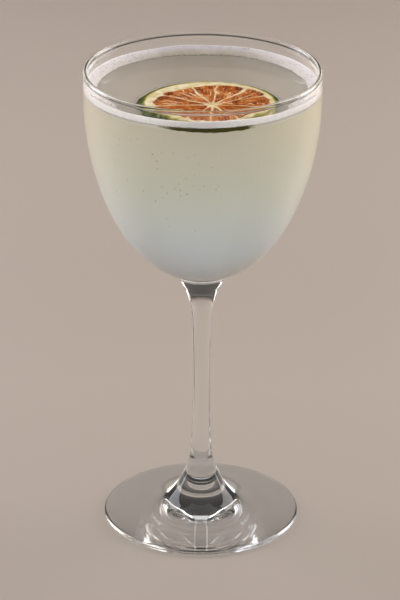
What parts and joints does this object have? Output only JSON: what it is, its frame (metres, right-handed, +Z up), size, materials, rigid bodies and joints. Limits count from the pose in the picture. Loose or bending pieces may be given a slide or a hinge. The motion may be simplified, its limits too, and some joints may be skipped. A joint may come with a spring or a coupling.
{
  "type": "daiquiri in a stemmed glass",
  "caption": "Pale cloudy daiquiri served up in a clear stemmed cocktail glass, with a collar of froth along the wall and a dried lime wheel afloat.",
  "frame": {"origin": "middle of the foot's underside, on the surface that the glass stands on", "axes": "+Z up along the stem; the lime wheel floats towards -Y"},
  "size_m": [0.079, 0.079, 0.1636],
  "materials": {
    "clear_glass": "clear and polished",
    "cloudy_drink": "wet, cloudy liquid",
    "froth": "fine bubbles, soft sheen",
    "dried_lime": "dried fruit, matt"
  },
  "bodies": {
    "root": {"glass": "clear_glass", "drink": "cloudy_drink", "foam_ring": "froth", "lime_wheel": "dried_lime"}
  },
  "joints": []
}
